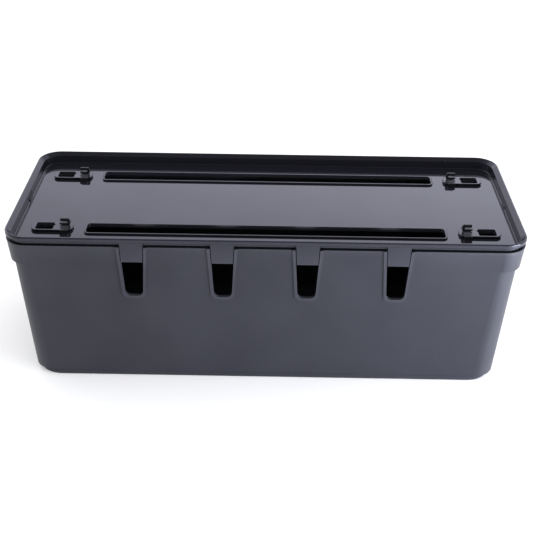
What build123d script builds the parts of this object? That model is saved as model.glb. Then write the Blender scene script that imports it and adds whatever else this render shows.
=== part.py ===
"""Lidded cable box: a tapered open box, a recessed drop-on lid, four sliding cable hooks, four foot pads.

Millimetres. The origin is at the bottom centre, +X runs along the length, +Y to the back, +Z up.
The front, with the cable notches, faces -Y.
"""
from build123d import *
import math
import os

os.makedirs("parts", exist_ok=True)

# ---- overall size ----
length = 400.0
depth = 161.5
height = 132.5
corner_radius = 18.0

# ---- lid, heights measured down from the rim top ----
skirt_drop = 3.8
reveal = 3.6
seat_side_inset = 2.8
seat_front_inset = 2.2
tub_side_inset = 3.8
tub_front_inset = 3.2
tub_wall = 1.4
floor_drop = 9.4
floor_thickness = 1.8
floor_cove = 0.8
rim_land = 1.3
bevel_drop = 3.0
bevel_side_inset = 4.5
bevel_front_inset = 4.0
rim_round = 1.2

# ---- body ----
top_side_inset = 0.6
top_front_inset = 0.9
lip_reach = 0.5
lip_height = 2.4
mouth_side_inset = 3.4
mouth_front_inset = 2.8
mouth_taper = 0.8
band_drop = 25.2
band_taper = 1.5
step_side = 2.7
step_front = 0.1
wall_taper = 0.063
wall = 2.2

# ---- plinth and foot pads ----
pad_proud = 0.4
plinth_top = 5.2
plinth_side_inset = 1.8
plinth_front_inset = 0.7
plinth_radius = 20.0
plinth_ring_width = 3.2
recess_depth = 2.2
pad_radius = 7.0
pad_thickness = 2.0
pad_clearance = 0.1
pad_x = 168.0
pad_y = 52.0
pad_boss_radius = 9.5

# ---- cable notches in the front wall and the lid tabs that close their upper ends ----
notch_positions = (-101.5, -32.5, 32.5, 101.5)
notch_top_half_width = 9.6
notch_bottom_half_width = 6.9
notch_bottom_drop = 51.9
notch_corner_radius = 4.4
bead_width = 3.0
bead_height = 0.9
bead_bevel = 0.7
bead_layers = 3
tab_drop = 20.2
tab_side_gap = 0.55
tab_inset = 0.4
tab_thickness = 2.0

# ---- long slots in the lid floor ----
slot_y = 48.2
slot_half_length = 140.2
slot_width = 15.3
slot_radius = 2.8
slot_lip = 1.3
slot_lip_height = 1.4

# ---- corner bosses, each with an open port, and the sliding hooks that straddle them ----
boss_x = 167.2
boss_y = 47.4
boss_half_length = 16.4
boss_half_width = 6.7
boss_radius = 5.0
boss_height = 2.2
boss_lip_height = 0.9
boss_undercut = 0.5
port_inner_x = 165.9
port_outer_x = 179.9
port_half_width = 5.5
port_radius = 1.6
port_nick = 1.4
hook_x = 157.2
saddle_width = 6.3
saddle_half_depth = 9.0
saddle_height = 3.0
slide_clearance = 0.15
toe_height = 0.9
upright_depth = 1.6
upright_behind = 1.4
upright_inner = 3.7
upright_top_reach = 3.6
upright_base_reach = 4.4
upright_spine = 1.9
upright_height = 8.2
upright_top_bar = 2.4
upright_gap = 1.4

# ---- small ramps near the middle of the short sides of the lid recess ----
ramp_length = 22.0
ramp_run_out = 8.0
ramp_centre_y = 3.0
ramp_reach = 0.8

body_top = height - skirt_drop - reveal
band_bottom = height - band_drop
lid_floor = height - floor_drop
lid_underside = lid_floor - floor_thickness


def rounded_plate(size_x, size_y, radius, z):
    """A rounded rectangle face at height z."""
    return Pos(0, 0, z) * RectangleRounded(size_x, size_y, radius)


def tapered_block(lower, upper):
    """A solid between two outlines, each given as (x size, y size, corner radius, height)."""
    return loft([rounded_plate(*lower), rounded_plate(*upper)])


def outline(side_inset, front_inset, radius, z):
    """An outline set in from the overall length and depth."""
    return (length - 2 * side_inset, depth - 2 * front_inset, radius, z)


def body_levels(grow):
    """The outer outlines of the body from its lip down to the plinth top, grown outwards by a distance."""
    fall = wall_taper * (band_bottom - plinth_top)
    side = top_side_inset - grow
    front = top_front_inset - grow
    lip = outline(side - lip_reach, front, corner_radius - 0.2, body_top)
    rim = outline(side, front, corner_radius - 0.5, body_top - lip_height)
    band = outline(side + band_taper, front + band_taper, corner_radius - 1.5, band_bottom)
    side = side + band_taper + step_side
    front = front + band_taper + step_front
    shoulder = outline(side, front, corner_radius - 2.0, band_bottom)
    foot = outline(side + fall, front + fall, corner_radius - 1.0, plinth_top)
    return lip, rim, band, shoulder, foot


def body_skin(grow):
    """The outer shape of the body above its plinth as one solid block."""
    lip, rim, band, shoulder, foot = body_levels(grow)
    return tapered_block(foot, shoulder) + tapered_block(band, rim) + tapered_block(rim, lip)


def body_cavity():
    """The hollow of the body: a wide mouth above the step, then the tapered well."""
    lip, rim, band, shoulder, foot = body_levels(0)
    mouth_foot = band_bottom + 1.6
    mouth_low = outline(
        mouth_side_inset + mouth_taper, mouth_front_inset + mouth_taper, corner_radius - 3.7, mouth_foot
    )
    mouth_high = outline(mouth_side_inset, mouth_front_inset, corner_radius - 3.2, body_top)
    above = outline(mouth_side_inset, mouth_front_inset, corner_radius - 3.2, body_top + 5)
    well_high = (shoulder[0] - 2 * wall, shoulder[1] - 2 * wall, shoulder[2] - wall, mouth_foot)
    well_low = (foot[0] - 2 * wall, foot[1] - 2 * wall, foot[2] - wall, plinth_top)
    return (
        tapered_block(well_low, well_high)
        + tapered_block(mouth_low, mouth_high)
        + tapered_block(mouth_high, above)
    )


def notch_half_width(drop):
    """Half the width of a cable notch at a distance below the rim top."""
    share = (drop - skirt_drop) / (notch_bottom_drop - skirt_drop)
    return notch_top_half_width + share * (notch_bottom_half_width - notch_top_half_width)


def notch_prism(x, grow, y_near, y_far):
    """A tapered, round-bottomed notch shape, grown outwards by a distance, run along Y."""
    bottom = height - notch_bottom_drop - grow
    top = body_top + 12
    low = notch_half_width(height - bottom) + grow
    high = notch_half_width(height - top) + grow
    corners = [(x - high, top), (x - low, bottom), (x + low, bottom), (x + high, top)]
    plane = Plane(origin=(0, y_far, 0), x_dir=(1, 0, 0), z_dir=(0, -1, 0))
    with BuildPart() as prism:
        with BuildSketch(plane) as shape:
            with BuildLine():
                Polyline(*corners, close=True)
            make_face()
            fillet(shape.vertices().group_by(Axis.Z)[0], notch_corner_radius + grow * 0.6)
        extrude(amount=y_far - y_near)
    return prism.part


def notch_bead(x):
    """The raised border round one notch, in three thin layers that narrow outwards like a bevel."""
    border = None
    for layer in range(bead_layers):
        shrink = bead_bevel * layer / (bead_layers - 1)
        proud = bead_height * (layer + 1) / bead_layers
        plate = notch_prism(x, bead_width - shrink, -depth, -depth / 4) & body_skin(proud)
        border = plate if border is None else border + plate
    return border


def make_body():
    """The box: tapered walls, shoulder band, plinth ring, pad seats and four beaded notches."""
    foot = body_levels(0)[-1]
    plinth_size = (foot[0] - 2 * plinth_side_inset, foot[1] - 2 * plinth_front_inset, plinth_radius)
    plinth = tapered_block(
        (plinth_size[0] - 1.0, plinth_size[1] - 1.0, plinth_radius, pad_proud),
        (plinth_size[0], plinth_size[1], plinth_radius, plinth_top),
    )
    body = body_skin(0) + plinth
    lid_clear = Pos(0, 0, body_top + 10) * Box(length * 2, depth * 2, 20)
    for x in notch_positions:
        body = body + notch_bead(x)
    body = body - lid_clear
    body = body - body_cavity()
    for x in notch_positions:
        body = body - notch_prism(x, 0, -depth, -depth / 4)
    ring_inner = (
        plinth_size[0] - 2 * plinth_ring_width,
        plinth_size[1] - 2 * plinth_ring_width,
        plinth_radius - plinth_ring_width,
    )
    recess = tapered_block((*ring_inner, pad_proud - 1), (*ring_inner, pad_proud + recess_depth))
    body = body - recess
    for x in (-pad_x, pad_x):
        for y in (-pad_y, pad_y):
            boss = Cylinder(pad_boss_radius, recess_depth, align=(Align.CENTER, Align.CENTER, Align.MIN))
            body = body + Pos(x, y, pad_proud) * boss
            seat_depth = pad_thickness - pad_proud
            seat = Cylinder(
                pad_radius + pad_clearance, seat_depth, align=(Align.CENTER, Align.CENTER, Align.MIN)
            )
            body = body - Pos(x, y, pad_proud) * seat
    return body


def make_pad(x, y):
    """One round non-slip pad in its seat, standing slightly proud of the plinth."""
    disc = Cylinder(pad_radius, pad_thickness, align=(Align.CENTER, Align.CENTER, Align.MIN))
    disc = chamfer(disc.edges().group_by(Axis.Z)[0], 0.4)
    return Pos(x, y, 0) * disc


def boss_block(inset, bottom, top, x, y):
    """One corner boss's rounded outline, set in by a distance, between two heights."""
    size_x = 2 * (boss_half_length - inset)
    size_y = 2 * (boss_half_width - inset)
    face = Pos(x, y, bottom) * RectangleRounded(size_x, size_y, boss_radius - inset)
    return extrude(face, top - bottom)


def port_cutter(sign_x, y):
    """The open port in the outer half of a boss, with a small nick in its inner edge."""
    length_x = port_outer_x - port_inner_x
    centre_x = sign_x * (port_inner_x + port_outer_x) / 2
    bottom = lid_underside - 1
    rise = floor_thickness + boss_height + 2
    window = extrude(
        Pos(centre_x, y, bottom) * RectangleRounded(length_x, 2 * port_half_width, port_radius), rise
    )
    nick_x = sign_x * port_inner_x
    nick_y = y + port_half_width * 0.4
    nick_side = port_nick * math.sqrt(2)
    nick = Pos(nick_x, nick_y, bottom + rise / 2) * Rot(0, 0, 45) * Box(nick_side, nick_side, rise)
    return window + nick


def lid_tab(x):
    """One tapered tab that hangs from the lid skirt into the top of a cable notch."""
    top = height - skirt_drop + 1
    bottom = height - tab_drop
    high = notch_half_width(skirt_drop) - tab_side_gap
    low = notch_half_width(tab_drop) - tab_side_gap
    corners = [(x - high, top), (x - low, bottom), (x + low, bottom), (x + high, top)]
    outer_y = -depth / 2 + tab_inset
    plane = Plane(origin=(0, outer_y + tab_thickness, 0), x_dir=(1, 0, 0), z_dir=(0, -1, 0))
    with BuildPart() as tab:
        with BuildSketch(plane):
            with BuildLine():
                Polyline(*corners, close=True)
            make_face()
        extrude(amount=tab_thickness)
    return tab.part


def recess_ramp(sign_x):
    """A low ramp on the short side wall of the recess, running out to nothing at both ends."""
    wall_x = length / 2 - tub_side_inset - tub_wall
    points = [
        (sign_x * (wall_x + 1.0), lid_floor),
        (sign_x * (wall_x - ramp_reach), lid_floor),
        (sign_x * (wall_x - ramp_reach), lid_floor + 1.2),
        (sign_x * (wall_x + 1.0), height - bevel_drop - 0.4),
    ]
    plane = Plane(origin=(0, ramp_centre_y + ramp_length / 2, 0), x_dir=(1, 0, 0), z_dir=(0, -1, 0))
    with BuildPart() as ramp:
        with BuildSketch(plane):
            with BuildLine():
                Polyline(*points, close=True)
            make_face()
        extrude(amount=ramp_length)
    near = sign_x * (wall_x - ramp_reach - 0.1)
    far = sign_x * (wall_x + 1.1)
    ends = [
        (far, ramp_centre_y - ramp_length / 2),
        (near, ramp_centre_y - ramp_length / 2 + ramp_run_out),
        (near, ramp_centre_y + ramp_length / 2 - ramp_run_out),
        (far, ramp_centre_y + ramp_length / 2),
    ]
    with BuildPart() as plan:
        with BuildSketch(Plane.XY.offset(lid_floor)):
            with BuildLine():
                Polyline(*ends, close=True)
            make_face()
        extrude(amount=floor_drop)
    return ramp.part & plan.part


def make_lid():
    """The drop-on lid: rolled rim, recessed floor, two long slots, four bosses and four tabs."""
    skirt = extrude(rounded_plate(length, depth, corner_radius, height - skirt_drop), skirt_drop)
    skirt = fillet(skirt.edges().group_by(Axis.Z)[-1], rim_round)
    skirt = chamfer(skirt.edges().group_by(Axis.Z)[0], 0.5)
    seat_outline = outline(seat_side_inset, seat_front_inset, corner_radius - 2.4, body_top)
    seat = extrude(rounded_plate(*seat_outline), reveal + 0.5)
    tub_outline = outline(tub_side_inset, tub_front_inset, corner_radius - 2.4, lid_underside)
    tub = extrude(rounded_plate(*tub_outline), height - skirt_drop - lid_underside + 0.5)
    lid = skirt + seat + tub
    inner_side = tub_side_inset + tub_wall
    inner_front = tub_front_inset + tub_wall
    floor_line = outline(inner_side, inner_front, corner_radius - 4.0, lid_floor)
    bevel_line = outline(bevel_side_inset, bevel_front_inset, corner_radius - 3.4, height - bevel_drop)
    mouth_line = outline(rim_land, rim_land, corner_radius - rim_land, height)
    above_line = outline(rim_land, rim_land, corner_radius - rim_land, height + 2)
    well = tapered_block(floor_line, bevel_line)
    well = fillet(well.edges().group_by(Axis.Z)[0], floor_cove)
    recess = well + tapered_block(bevel_line, mouth_line) + tapered_block(mouth_line, above_line)
    lid = lid - recess
    for x in notch_positions:
        lid = lid + lid_tab(x)
    for sign_x in (-1, 1):
        lid = lid + recess_ramp(sign_x)
    for y in (-slot_y, slot_y):
        lip_face = Pos(0, y, lid_floor - 0.2) * RectangleRounded(
            2 * (slot_half_length + slot_lip), slot_width + 2 * slot_lip, slot_radius + slot_lip * 0.8
        )
        lip = extrude(lip_face, slot_lip_height + 0.2)
        lip = chamfer(lip.edges().group_by(Axis.Z)[-1], 0.5)
        lid = lid + lip
    for y in (-slot_y, slot_y):
        opening = RectangleRounded(2 * slot_half_length, slot_width, slot_radius)
        cut_face = Pos(0, y, lid_underside - 1) * opening
        lid = lid - extrude(cut_face, floor_thickness + slot_lip_height + 3)
    lip_bottom = lid_floor + boss_height - boss_lip_height
    for sign_x in (-1, 1):
        for y in (-boss_y, boss_y):
            stem = boss_block(boss_undercut, lid_floor - 0.2, lip_bottom + 0.1, sign_x * boss_x, y)
            lip = boss_block(0, lip_bottom, lid_floor + boss_height, sign_x * boss_x, y)
            lip = fillet(lip.edges().group_by(Axis.Z)[-1], 0.5)
            lid = lid + stem + lip - port_cutter(sign_x, y)
    return lid


def hook_upright():
    """The hook's upright: an arch open outwards on a base bar that bulges outwards past the saddle."""
    top = lid_floor + upright_height
    top_low = top - upright_top_bar
    base_high = top_low - upright_gap
    base_low = lid_floor + saddle_height - 0.1
    spine_out = upright_spine - upright_inner
    corners = [
        (-upright_inner, base_low),
        (-upright_inner, top),
        (upright_top_reach, top),
        (upright_top_reach, top_low),
        (spine_out, top_low),
        (spine_out, base_high),
        (upright_base_reach, base_high),
        (upright_base_reach, base_low),
    ]
    with BuildPart() as upright:
        with BuildSketch(Plane.XZ.offset(-upright_behind)) as shape:
            with BuildLine():
                Polyline(*corners, close=True)
            make_face()
            spine_points = shape.vertices().group_by(Axis.X)[0].sort_by(Axis.Y)
            fillet(spine_points[-1], 1.5)
            fillet(shape.vertices().group_by(Axis.X)[-1], 0.5)
        extrude(amount=upright_depth / 2, both=True)
        chamfer(upright.faces().sort_by(Axis.Y)[0].edges(), 0.2)
    return upright.part


def hook_saddle():
    """The hook's base: a block across a boss with two legs whose toes grip under the boss edge."""
    bridge_low = boss_height + slide_clearance
    leg_inner = boss_half_width + slide_clearance
    block_height = saddle_height - slide_clearance
    block_middle = lid_floor + slide_clearance + block_height / 2
    block = Pos(0, 0, block_middle) * Box(saddle_width, 2 * saddle_half_depth, block_height)
    block = fillet(block.edges().filter_by(Axis.Z), 0.5)
    block = fillet(block.edges().group_by(Axis.Z)[-1], 0.4)
    tunnel_height = bridge_low - slide_clearance + 1
    tunnel = Box(saddle_width + 1, 2 * leg_inner, tunnel_height)
    block = block - Pos(0, 0, lid_floor + bridge_low - tunnel_height / 2) * tunnel
    toe_reach = boss_undercut - slide_clearance + 0.1
    for side in (-1, 1):
        toe_y = side * (leg_inner - toe_reach / 2 + 0.1)
        toe_middle = lid_floor + slide_clearance + toe_height / 2
        block = block + Pos(0, toe_y, toe_middle) * Box(saddle_width - 1.6, toe_reach + 0.2, toe_height)
    return block


def make_hook(sign_x, y):
    """One sliding hook, its arch open towards the nearer short end of the lid."""
    hook = hook_saddle() + hook_upright()
    if sign_x < 0:
        hook = mirror(hook, about=Plane.YZ)
    return Pos(sign_x * hook_x, y, 0) * hook


def save(shape, name):
    """Write one sub-part."""
    export_step(shape, f"parts/{name}.step")


save(make_body(), "box_body")
save(make_lid(), "lid")
for end_name, end_sign in (("left", -1), ("right", 1)):
    for row_name, row_sign in (("front", -1), ("back", 1)):
        save(make_hook(end_sign, row_sign * boss_y), f"hook_{row_name}_{end_name}")
        save(make_pad(end_sign * pad_x, row_sign * pad_y), f"pad_{row_name}_{end_name}")
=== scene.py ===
"""Looks of the lidded cable box: materials, floor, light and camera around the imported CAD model."""
import math

import bpy
from mathutils import Matrix, Vector


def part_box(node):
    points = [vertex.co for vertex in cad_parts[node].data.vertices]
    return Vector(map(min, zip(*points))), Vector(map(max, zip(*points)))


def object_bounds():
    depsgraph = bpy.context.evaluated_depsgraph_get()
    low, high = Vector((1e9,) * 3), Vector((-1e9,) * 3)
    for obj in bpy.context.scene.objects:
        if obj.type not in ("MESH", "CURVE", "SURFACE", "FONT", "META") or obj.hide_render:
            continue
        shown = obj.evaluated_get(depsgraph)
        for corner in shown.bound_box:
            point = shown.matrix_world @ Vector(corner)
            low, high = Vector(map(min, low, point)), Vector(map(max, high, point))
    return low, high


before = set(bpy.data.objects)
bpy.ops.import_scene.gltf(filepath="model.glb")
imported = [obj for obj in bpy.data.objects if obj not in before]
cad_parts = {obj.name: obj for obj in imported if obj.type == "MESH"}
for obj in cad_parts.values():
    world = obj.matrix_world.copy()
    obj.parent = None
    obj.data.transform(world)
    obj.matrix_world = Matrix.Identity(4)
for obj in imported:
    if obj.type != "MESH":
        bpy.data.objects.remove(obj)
cad_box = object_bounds()
scene = bpy.context.scene

# ---- plastics: base colours, and the colour of dust ----
BODY_BASE = (0.0130, 0.0135, 0.0180)
LID_BASE = (0.0108, 0.0112, 0.0155)
HOOK_BASE = (0.008, 0.008, 0.010)
PAD_BASE = (0.02, 0.02, 0.02)
DUST_COLOR = (0.35, 0.35, 0.38, 1)
SHINE_TINT = (0.86, 0.88, 1.0, 1)
PLASTIC_IOR = 1.5

# ---- pattern sizes (noise scale per metre) and how far each pattern reaches ----
CLOUD_SCALE = 14.0
CLOUD_ROUGHNESS_SPREAD = 0.15
CLOUD_COLOR_SPREAD = 0.12
MOTTLE_SCALE = 24.0
STREAK_SCALE = 3.0
STREAK_STRETCH = (2.0, 30.0, 60.0)
DUST_SCALE = 90.0
DUST_CORE = 0.020
DUST_EDGE = 0.034
GRAIN_HEIGHT = 0.0002
NOISE_LOW = 0.3
NOISE_HIGH = 0.7
EDGE_START = 0.50
EDGE_END = 0.62
EDGE_WEAR = 0.25
EDGE_PALENESS = 3.0
EDGE_LIFT = 0.02

# ---- steep faces: where they begin (upward part of the normal), and the painted shade that darkens their hollows ----
STEEP_START = 0.97
STEEP_END = 0.85
HOLLOW_REACH = 0.020
HOLLOW_SAMPLES = 8
HOLLOW_DARK_AT = 0.28
HOLLOW_OPEN_AT = 0.50
HOLLOW_PAINTED_SHADE = 0.12
SUNK_PAINTED_SHADE = 0.08
LID_SATIN_ROUGHNESS = 0.20
LID_SATIN_PALENESS = 1.25
LID_SATIN_SHINE = 0.80

# ---- where the lid's sunk faces with painted shade lie, below its top rim and behind its front face, in metres ----
RECESS_DEPTH = 0.0094
BOSS_HEIGHT = 0.0022
SUNK_TOP_DROP = 0.0059
SUNK_FRONT_INSET = 0.00155

# ---- light levels: the white surround, and the softbox that shiny surfaces mirror instead ----
SKY_PLAIN = 1.15
SOFTBOX_COLOR = (0.86, 0.855, 1.0, 1)
SOFTBOX_FRONT = 0.60
SOFTBOX_BACK = 2.15
SOFTBOX_LEFT = 0.80
SOFTBOX_RIGHT = 1.20
SOFTBOX_FAR_LEFT = 1.9
SOFTBOX_FAR_RIGHT = 0.62
SOFTBOX_TOP = 2.2
SOFTBOX_UPPER = 0.45
SOFTBOX_HORIZON = 0.28
SOFTBOX_LOW_FRONT = 0.30

# ---- the low lamp at the right ----
KEY_PLACE = (0.64, -0.40, 0.062)
KEY_TARGET = (0.17, -0.08, 0.055)
KEY_WIDTH = 0.45
KEY_HEIGHT = 0.10
KEY_POWER = 15.0
KEY_COLOR = (0.88, 0.90, 1.0)

# ---- floor and camera: places in metres, angles in radians, lens and sensor in millimetres ----
FLOOR_HALF = 6.0
FLOOR_DROP = 0.0002
FLOOR_COLOR = (0.93, 0.93, 0.94, 1)
FLOOR_ROUGHNESS = 0.9
FLOOR_GLOW = 0.15
CAMERA_PLACE = Vector((0.0077, -0.7659, 0.5074))
PITCH = 0.5247
YAW = -0.0094
ROLL = 0.0115
SENSOR_WIDTH = 36.0
LENS = 70.243902
CLIP_END = 30


def add_node(tree, kind, inputs=None, **settings):
    """A new shader node: its settings made, its inputs filled with values or joined to outputs."""
    node = tree.nodes.new("ShaderNode" + kind)
    for name, value in settings.items():
        setattr(node, name, value)
    for name, value in (inputs or {}).items():
        if isinstance(value, bpy.types.NodeSocket):
            tree.links.new(value, node.inputs[name])
        else:
            node.inputs[name].default_value = value
    return node


def calculate(tree, operation, *values):
    """The result of one sum on numbers or other nodes' outputs."""
    return add_node(tree, "Math", dict(enumerate(values)), operation=operation).outputs[0]


def ramp(tree, value, start, end, low, high, curve="LINEAR"):
    """A value that goes from low to high while another goes from start to end."""
    inputs = {"Value": value, "From Min": start, "From Max": end, "To Min": low, "To Max": high}
    return add_node(tree, "MapRange", inputs, interpolation_type=curve).outputs["Result"]


def mix(tree, kind, share, first, second):
    """Two numbers (kind FLOAT) or two colours (kind RGBA), mixed by a share."""
    inputs = {"Factor": share, "A": first, "B": second}
    return add_node(tree, "Mix", inputs, data_type=kind).outputs["Result"]


def noise(tree, place, scale, detail, roughness=0.5):
    """A cloudy pattern in the piece's own coordinates."""
    inputs = {"Vector": place, "Scale": scale, "Detail": detail, "Roughness": roughness}
    return add_node(tree, "TexNoise", inputs).outputs["Fac"]


def split(tree, vector):
    """The X, Y and Z outputs of a vector."""
    return add_node(tree, "SeparateXYZ", {"Vector": vector}).outputs


def tone(base, factor, lift=0.0):
    """A base colour made lighter or darker, with full opacity."""
    return (*[min(1.0, part * factor + lift) for part in base], 1)


def flow_streaks(tree, place):
    """A pattern drawn out along the length, as melted plastic leaves when it flows."""
    stretched = add_node(tree, "Mapping", {"Vector": place, "Scale": STREAK_STRETCH})
    return noise(tree, stretched.outputs["Vector"], STREAK_SCALE, detail=4.0)


def painted_shade_faces(tree, place, normal):
    """The mask of painted shade: 1 on the lid's seat behind the skirt and on the slots' outward walls,
    0 elsewhere.

    The heights that the bosses take up are left out, so that their sides stay bright.
    """
    low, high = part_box("lid")
    floor_height = high[2] - RECESS_DEPTH
    boss_middle = floor_height + BOSS_HEIGHT / 2
    outward_inputs = {0: place, 1: normal}
    outward = add_node(tree, "VectorMath", outward_inputs, operation="DOT_PRODUCT").outputs["Value"]
    axes = split(tree, place)
    from_boss = calculate(tree, "ABSOLUTE", calculate(tree, "SUBTRACT", axes["Z"], boss_middle))
    tests = (
        calculate(tree, "GREATER_THAN", from_boss, BOSS_HEIGHT / 2),
        calculate(tree, "LESS_THAN", axes["Z"], high[2] - SUNK_TOP_DROP),
        calculate(tree, "GREATER_THAN", axes["Y"], low[1] + SUNK_FRONT_INSET),
        calculate(tree, "GREATER_THAN", outward, 0.0),
    )
    inside = tests[0]
    for test in tests[1:]:
        inside = calculate(tree, "MULTIPLY", inside, test)
    return inside


def painted_hollow_shade(tree, open_value):
    """Painted shade: colour and shine darkened on faces that other faces close in."""
    hollow = add_node(tree, "AmbientOcclusion", {"Distance": HOLLOW_REACH}, samples=HOLLOW_SAMPLES)
    return ramp(tree, hollow.outputs["AO"], HOLLOW_DARK_AT, HOLLOW_OPEN_AT, HOLLOW_PAINTED_SHADE, open_value)


def add_dust(tree, place, color, amount):
    """Sparse pale specks laid over a colour."""
    cells = add_node(tree, "TexVoronoi", {"Vector": place, "Scale": DUST_SCALE})
    share = ramp(tree, cells.outputs["Distance"], DUST_CORE, DUST_EDGE, amount, 0.0)
    return mix(tree, "RGBA", share, color, DUST_COLOR)


def plastic(
    name, base, rough, grain_scale, grain_depth, sheen, streak=0.0, dust=0.0, mottle=0.06, is_lid=False
):
    """Moulded black plastic: fine grain, cloudy roughness, faint streaks, paler edges, and painted
    shade in its hollows.

    The lid's is polished only where it looks up: its steep faces are satin, and its sunk faces get a
    deep painted shade.
    """
    mat = bpy.data.materials.new(name)
    mat.use_nodes = True
    tree = mat.node_tree
    tree.nodes.clear()
    place = add_node(tree, "TexCoord").outputs["Object"]
    geometry = add_node(tree, "NewGeometry").outputs
    cloud = noise(tree, place, CLOUD_SCALE, detail=5.0)
    steep = ramp(tree, split(tree, geometry["Normal"])["Z"], STEEP_START, STEEP_END, 0.0, 1.0)

    smooth = rough * (1 - CLOUD_ROUGHNESS_SPREAD)
    coarse = rough * (1 + CLOUD_ROUGHNESS_SPREAD)
    cloudy = ramp(tree, cloud, NOISE_LOW, NOISE_HIGH, smooth, coarse)
    finish = calculate(tree, "MULTIPLY_ADD", flow_streaks(tree, place), streak, cloudy)

    lighter = tone(base, 1 + CLOUD_COLOR_SPREAD)
    color = mix(tree, "RGBA", cloud, tone(base, 1 - CLOUD_COLOR_SPREAD), lighter)
    color = mix(tree, "RGBA", steep, color, tone(base, LID_SATIN_PALENESS if is_lid else 1.0))
    # Painted shade: colour and shine darkened in hollows that ambient occlusion finds, on steep faces
    # only.
    shade = painted_hollow_shade(tree, LID_SATIN_SHINE if is_lid else 1.0)
    if is_lid:
        finish = mix(tree, "FLOAT", steep, finish, LID_SATIN_ROUGHNESS)
        # Painted shade: the lid's seat behind the skirt and its slots' outward walls darkened almost
        # to black.
        shade = mix(tree, "FLOAT", painted_shade_faces(tree, place, geometry["Normal"]), shade, SUNK_PAINTED_SHADE)
    shade = mix(tree, "FLOAT", steep, 1.0, shade)
    # The colour darkened by the painted shade.
    dimmed = add_node(tree, "VectorMath", {0: color, "Scale": shade}, operation="SCALE")
    worn = ramp(tree, geometry["Pointiness"], EDGE_START, EDGE_END, 0.0, EDGE_WEAR)
    color = mix(tree, "RGBA", worn, dimmed.outputs["Vector"], tone(base, EDGE_PALENESS, EDGE_LIFT))
    if dust:
        color = add_dust(tree, place, color, dust)

    patches = noise(tree, place, MOTTLE_SCALE, detail=1.5)
    uneven = ramp(tree, patches, NOISE_LOW, NOISE_HIGH, 1 - mottle, 1 + mottle)
    # The shine is dimmed by the same painted shade as the colour.
    shine = calculate(tree, "MULTIPLY", calculate(tree, "MULTIPLY", shade, sheen), uneven)
    grain = noise(tree, place, grain_scale, detail=3.0, roughness=0.6)
    bump_inputs = {"Height": grain, "Strength": grain_depth, "Distance": GRAIN_HEIGHT}
    bump = add_node(tree, "Bump", bump_inputs)
    surface = {
        "Base Color": color,
        "Roughness": finish,
        "Specular IOR Level": shine,
        "Specular Tint": SHINE_TINT,
        "Normal": bump.outputs["Normal"],
        "IOR": PLASTIC_IOR,
    }
    bsdf = add_node(tree, "BsdfPrincipled", surface)
    add_node(tree, "OutputMaterial", {"Surface": bsdf.outputs["BSDF"]})
    return mat


def satin_black():
    """The box's satin plastic."""
    return plastic(
        "body_plastic",
        BODY_BASE,
        rough=0.42,
        grain_scale=1400.0,
        grain_depth=0.12,
        sheen=0.39,
        streak=0.04,
        dust=0.15,
        mottle=0.12,
    )


def polished_black():
    """The lid's plastic, with a floor polished enough to mirror the walls."""
    return plastic(
        "lid_plastic",
        LID_BASE,
        rough=0.055,
        grain_scale=900.0,
        grain_depth=0.03,
        sheen=0.5,
        streak=0.02,
        dust=0.2,
        is_lid=True,
    )


def deep_black():
    """The hooks' darker, duller plastic."""
    return plastic(
        "hook_plastic", HOOK_BASE, rough=0.30, grain_scale=1200.0, grain_depth=0.06, sheen=0.22
    )


def rubber():
    """The pads' matt rubber."""
    return plastic(
        "pad_rubber", PAD_BASE, rough=0.8, grain_scale=2200.0, grain_depth=0.4, sheen=0.3
    )


def dress_pieces():
    """Each CAD piece in its own material, picked by the start of its name."""
    looks = {"box": satin_black(), "lid": polished_black(), "hook": deep_black(), "pad": rubber()}
    for name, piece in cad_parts.items():
        for slot in piece.material_slots:
            slot.material = looks[name.split("_")[0]]


def add_floor():
    """A pale plain floor just under the pads, glowing a little so that it stays white."""
    mesh = bpy.data.meshes.new("floor")
    corners = [(x * FLOOR_HALF, y * FLOOR_HALF, 0) for x, y in ((-1, -1), (1, -1), (1, 1), (-1, 1))]
    mesh.from_pydata(corners, [], [(0, 1, 2, 3)])
    floor = bpy.data.objects.new("floor", mesh)
    scene.collection.objects.link(floor)
    floor.location = (0, 0, cad_box[0][2] - FLOOR_DROP)
    mat = bpy.data.materials.new("floor_white")
    mat.use_nodes = True
    inputs = mat.node_tree.nodes["Principled BSDF"].inputs
    inputs["Base Color"].default_value = FLOOR_COLOR
    inputs["Roughness"].default_value = FLOOR_ROUGHNESS
    inputs["Emission Color"].default_value = (1, 1, 1, 1)
    inputs["Emission Strength"].default_value = FLOOR_GLOW
    mesh.materials.append(mat)


def softbox_strength(tree):
    """Brightness of the surround that shiny surfaces mirror.

    Each ramp runs between two values of X, Y or Z of the unit vector that points where one looks.
    """
    direction = add_node(tree, "TexCoord").outputs["Generated"]
    axes = split(tree, direction)

    def along(axis, start, end, low, high):
        return ramp(tree, axes[axis], start, end, low, high, "SMOOTHSTEP")

    ring_parts = (
        along("Y", -0.15, 0.75, SOFTBOX_FRONT, SOFTBOX_BACK),
        along("X", -0.35, 0.35, SOFTBOX_LEFT, SOFTBOX_RIGHT),
        along("X", -0.60, -0.30, SOFTBOX_FAR_LEFT, 1.0),
        along("X", 0.30, 0.60, 1.0, SOFTBOX_FAR_RIGHT),
        along("Z", 0.05, 0.38, SOFTBOX_HORIZON, 1.0),
        along("Z", 0.42, 0.60, 1.0, SOFTBOX_UPPER),
        along("Y", -0.75, -0.25, SOFTBOX_LOW_FRONT, 1.0),
    )
    ring = ring_parts[0]
    for part in ring_parts[1:]:
        ring = calculate(tree, "MULTIPLY", ring, part)
    top = along("Z", 0.50, 0.80, 0.0, SOFTBOX_TOP)
    overhead = calculate(tree, "MULTIPLY", top, along("Y", 0.05, 0.55, 0.0, 1.0))
    return calculate(tree, "ADD", ring, overhead)


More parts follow.
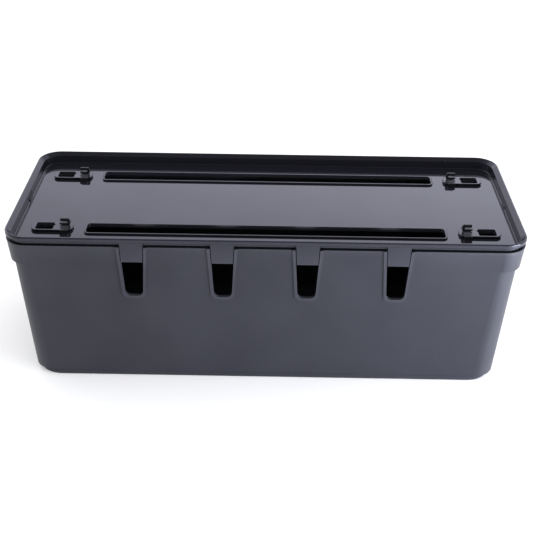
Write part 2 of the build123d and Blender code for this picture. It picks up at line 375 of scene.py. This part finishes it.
def add_surround():
    """White for the camera and matt surfaces, a shaped softbox for shiny surfaces."""
    world = bpy.data.worlds.new("studio")
    scene.world = world
    world.use_nodes = True
    tree = world.node_tree
    backdrop = tree.nodes["Background"]
    backdrop.inputs["Color"].default_value = (1.0, 1.0, 1.0, 1)
    backdrop.inputs["Strength"].default_value = SKY_PLAIN
    softbox_inputs = {"Color": SOFTBOX_COLOR, "Strength": softbox_strength(tree)}
    softbox = add_node(tree, "Background", softbox_inputs)
    mirrored = add_node(tree, "LightPath").outputs["Is Glossy Ray"]
    both = {0: mirrored, 1: backdrop.outputs["Background"], 2: softbox.outputs["Background"]}
    chooser = add_node(tree, "MixShader", both)
    tree.links.new(chooser.outputs["Shader"], tree.nodes["World Output"].inputs["Surface"])


def add_key_lamp():
    """A low strip light at the right that grades the front face from left to right."""
    data = bpy.data.lights.new("key_right", "AREA")
    data.shape = "RECTANGLE"
    data.size = KEY_WIDTH
    data.size_y = KEY_HEIGHT
    data.energy = KEY_POWER
    data.color = KEY_COLOR
    lamp = bpy.data.objects.new("key_right", data)
    scene.collection.objects.link(lamp)
    lamp.location = KEY_PLACE
    aim = Vector(KEY_TARGET) - Vector(KEY_PLACE)
    lamp.rotation_euler = aim.to_track_quat("-Z", "Y").to_euler()
    lamp.visible_camera = False


def add_camera():
    """The camera, in front of the box and about 30 degrees above it."""
    data = bpy.data.cameras.new("camera")
    data.sensor_width = SENSOR_WIDTH
    data.lens = LENS
    data.clip_end = CLIP_END
    camera = bpy.data.objects.new("camera", data)
    scene.collection.objects.link(camera)
    scene.camera = camera
    forward = Vector(
        (math.sin(YAW) * math.cos(PITCH), math.cos(YAW) * math.cos(PITCH), -math.sin(PITCH))
    )
    level = Vector((math.cos(YAW), -math.sin(YAW), 0))
    upright = level.cross(forward)
    right = level * math.cos(ROLL) + upright * math.sin(ROLL)
    up = upright * math.cos(ROLL) - level * math.sin(ROLL)
    turned = Matrix((right, up, -forward)).transposed()
    camera.matrix_world = Matrix.Translation(CAMERA_PLACE) @ turned.to_4x4()


dress_pieces()
add_floor()
add_surround()
add_key_lamp()
add_camera()
scene.view_settings.view_transform = "Standard"
